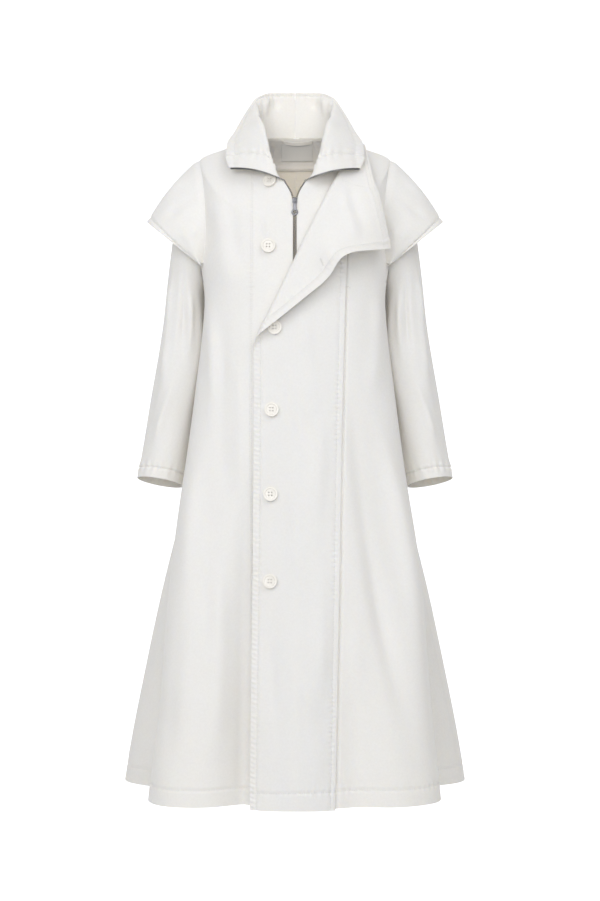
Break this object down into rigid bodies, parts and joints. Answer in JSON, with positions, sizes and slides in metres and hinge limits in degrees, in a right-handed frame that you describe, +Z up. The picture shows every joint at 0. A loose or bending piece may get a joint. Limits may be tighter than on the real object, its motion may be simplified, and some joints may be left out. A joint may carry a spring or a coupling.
{
  "type": "raincoat",
  "caption": "Long flared raincoat with shoulder capes, a tall zipped collar and a buttoned overlapping front with its top corner turned open, filled out as if worn.",
  "frame": {"origin": "the middle of the neck, level with the centre back neck seam, where the wearer's neck and shoulders carry the coat", "axes": "+Z up along the coat, the front faces -Y, +X towards the wearer's left"},
  "size_m": [0.6448, 0.5234, 1.3245],
  "materials": {
    "cotton": "matte ivory cotton twill",
    "label_tape": "pale grey woven tape",
    "zip_metal": "silver zip metal",
    "button_plastic": "ivory plastic, soft gloss"
  },
  "bodies": {
    "coat": {"front_right": "cotton", "front_left": "cotton", "back_right": "cotton", "back_left": "cotton", "collar_right": "cotton", "collar_left": "cotton", "sleeve_right": "cotton", "sleeve_left": "cotton", "cape_right": "cotton", "cape_left": "cotton", "overlap_panel": "cotton", "neck_facing": "cotton", "hanger_loop": "cotton", "neck_label": "label_tape", "zip_row_right": "zip_metal", "zip_row_left": "zip_metal", "zip_slider": "zip_metal", "button_1": "button_plastic", "button_2": "button_plastic", "button_3": "button_plastic", "button_4": "button_plastic", "button_5": "button_plastic", "button_6": "button_plastic"},
    "pull_tab": {"pull_tab": "zip_metal"}
  },
  "joints": [
    {"name": "pull_tab_hinge", "type": "hinge", "parent": "coat", "child": "pull_tab", "pos_m": [0, -0.14243, -0.14767], "axis": [-1, 0, 0], "range_deg": [0, 150]}
  ]
}
